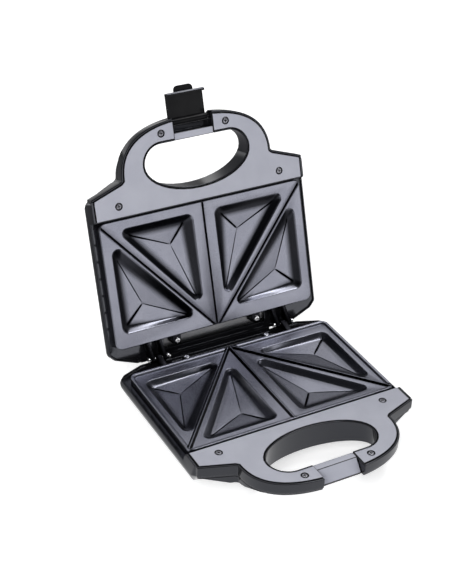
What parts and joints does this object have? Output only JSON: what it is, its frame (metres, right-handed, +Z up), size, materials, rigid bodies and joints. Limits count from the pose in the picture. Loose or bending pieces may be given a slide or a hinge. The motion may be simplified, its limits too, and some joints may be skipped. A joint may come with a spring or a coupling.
{
  "type": "sandwich toaster",
  "caption": "Countertop sandwich toaster with hinged lid, triangular pocket plates, grips with finger openings and a swinging latch.",
  "frame": {"origin": "centre of the whole open appliance's outline in plan, at the height of the foot bottoms", "axes": "+Z up, +X to the right and -Y towards the grips, where the user stands; the hinge axis is along X"},
  "size_m": [0.235, 0.3262, 0.2742],
  "materials": {
    "housing": "gloss black",
    "cover": "satin charcoal",
    "nonstick": "dark non-stick coating",
    "screws": "bright zinc",
    "pins": "bright",
    "rubber": "matt",
    "latch": "satin black",
    "gland": "matt",
    "block": "matt",
    "fuse": "dull",
    "rod": "heat-toned",
    "tray": "mill",
    "red_lens": "gloss",
    "green_lens": "gloss",
    "lamp_glass": "clear"
  },
  "bodies": {
    "base": {"base_housing": "housing", "base_handle_cover": "cover", "base_cover_screws": "screws", "lower_plate": "nonstick", "lower_plate_screws": "screws", "lower_heater": "rod", "lower_reflector": "tray", "foot_front_left": "rubber", "foot_front_right": "rubber", "foot_rear_left": "rubber", "foot_rear_right": "rubber", "hinge_pin_left": "pins", "hinge_pin_right": "pins", "cord_gland": "gland", "gland_nut": "gland", "terminal_block": "block", "thermal_fuse": "fuse"},
    "lid": {"lid_housing": "housing", "lid_handle_cover": "cover", "lid_cover_screws": "screws", "upper_plate": "nonstick", "upper_plate_screws": "screws", "upper_heater": "rod", "upper_reflector": "tray", "thermostat": "fuse", "power_lens": "red_lens", "ready_lens": "green_lens", "power_lamp": "lamp_glass", "ready_lamp": "lamp_glass", "latch_pin": "pins"},
    "latch": {"latch": "latch"}
  },
  "joints": [
    {"name": "lid_hinge", "type": "hinge", "parent": "base", "child": "lid", "pos_m": [0, 0.06469, 0.0366], "axis": [1, 0, 0], "range_deg": [0, 108.5]},
    {"name": "latch_pivot", "type": "hinge", "parent": "lid", "child": "latch", "pos_m": [0, 0.14898, 0.24313], "axis": [1, 0, 0], "range_deg": [0, 90]}
  ]
}
